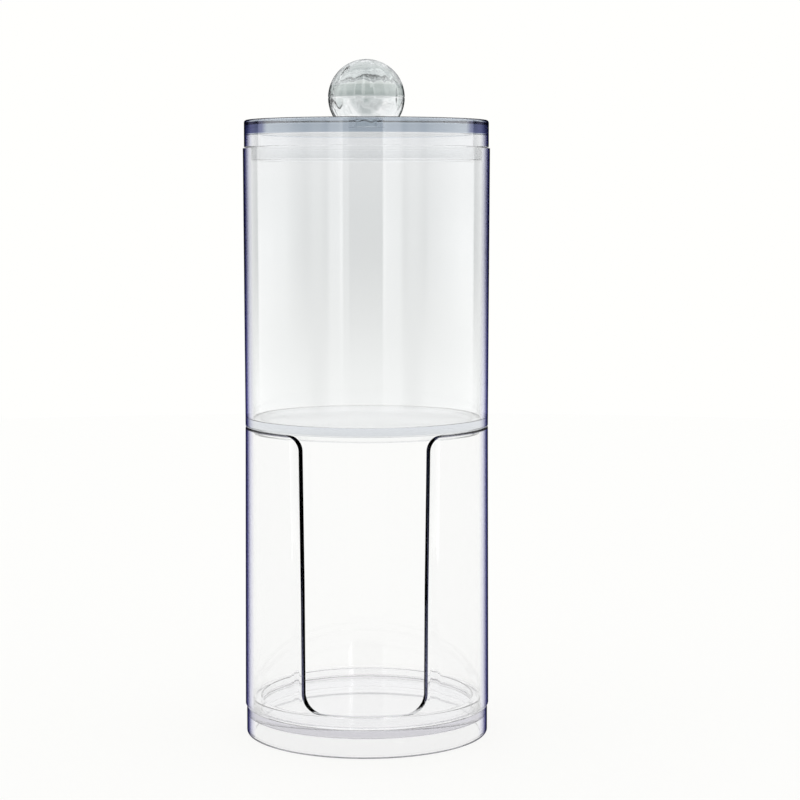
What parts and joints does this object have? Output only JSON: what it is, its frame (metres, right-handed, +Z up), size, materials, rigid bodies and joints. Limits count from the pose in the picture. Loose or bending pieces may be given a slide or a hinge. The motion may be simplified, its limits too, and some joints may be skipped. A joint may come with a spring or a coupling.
{
  "type": "cotton swab storage box",
  "caption": "Round clear plastic swab jar with a ball-knob lid, stacked on a tube that dispenses cotton pads through a tall front slot.",
  "frame": {"origin": "centre of the foot's resting face, on the vertical axis of the stack", "axes": "+Z up along the stack's axis towards the knob, -Y out through the pad slot, so +X is to the right as the slot is looked at"},
  "size_m": [0.07, 0.07, 0.1922],
  "materials": {
    "clear_body": "clear polished moulded plastic with a faint violet tint at its edges",
    "clear_lid": "clear polished moulded plastic, thick enough to look blue-grey from the side",
    "clear_knob": "clear polished solid plastic ball"
  },
  "bodies": {
    "holder": {"base": "clear_body", "pad_tube": "clear_body"},
    "jar": {"swab_jar": "clear_body"},
    "lid_and_knob": {"lid": "clear_lid", "ball_knob": "clear_knob"}
  },
  "joints": [
    {"name": "jar_lift", "type": "slide", "parent": "holder", "child": "jar", "axis": [0, 0, 1], "range_m": [0, 0.06]},
    {"name": "lid_lift", "type": "slide", "parent": "jar", "child": "lid_and_knob", "axis": [0, 0, 1], "range_m": [0, 0.06]}
  ]
}
